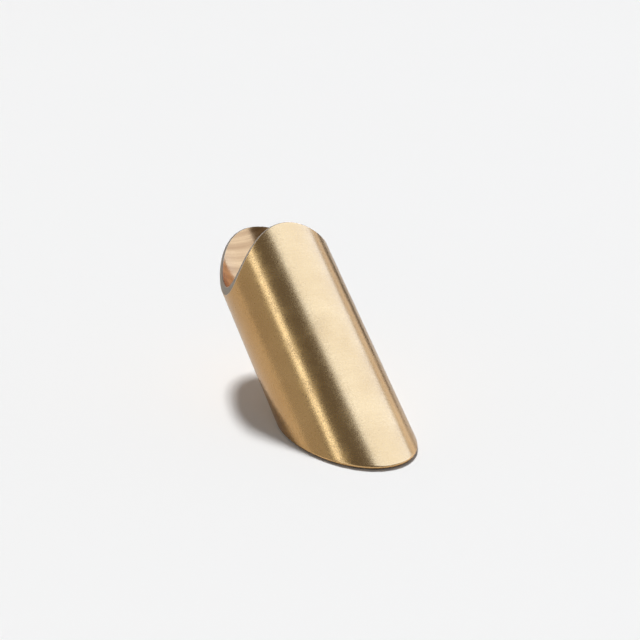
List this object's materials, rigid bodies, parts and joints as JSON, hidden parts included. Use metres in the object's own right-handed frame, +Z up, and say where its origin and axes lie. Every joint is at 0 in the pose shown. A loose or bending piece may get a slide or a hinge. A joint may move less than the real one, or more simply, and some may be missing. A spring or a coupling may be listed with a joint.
{
  "type": "eyeglasses display stand",
  "caption": "Leaning brass tube with a round nose that holds a pair of glasses by the bridge, on a weighted, padded foot.",
  "frame": {"origin": "centre of the foot: where the tube's axis meets the surface that the stand rests on", "axes": "+Z up, the tube leans towards +Y, the nose faces -Y, X across the nose"},
  "size_m": [0.032, 0.1016, 0.0474],
  "materials": {
    "brushed_brass": "fine brushed, satin",
    "plug_steel": "turned, plain",
    "pad_rubber": "matt"
  },
  "bodies": {
    "root": {"brass_tube": "brushed_brass", "ballast_plug": "plug_steel", "foot_pad": "pad_rubber"}
  },
  "joints": []
}
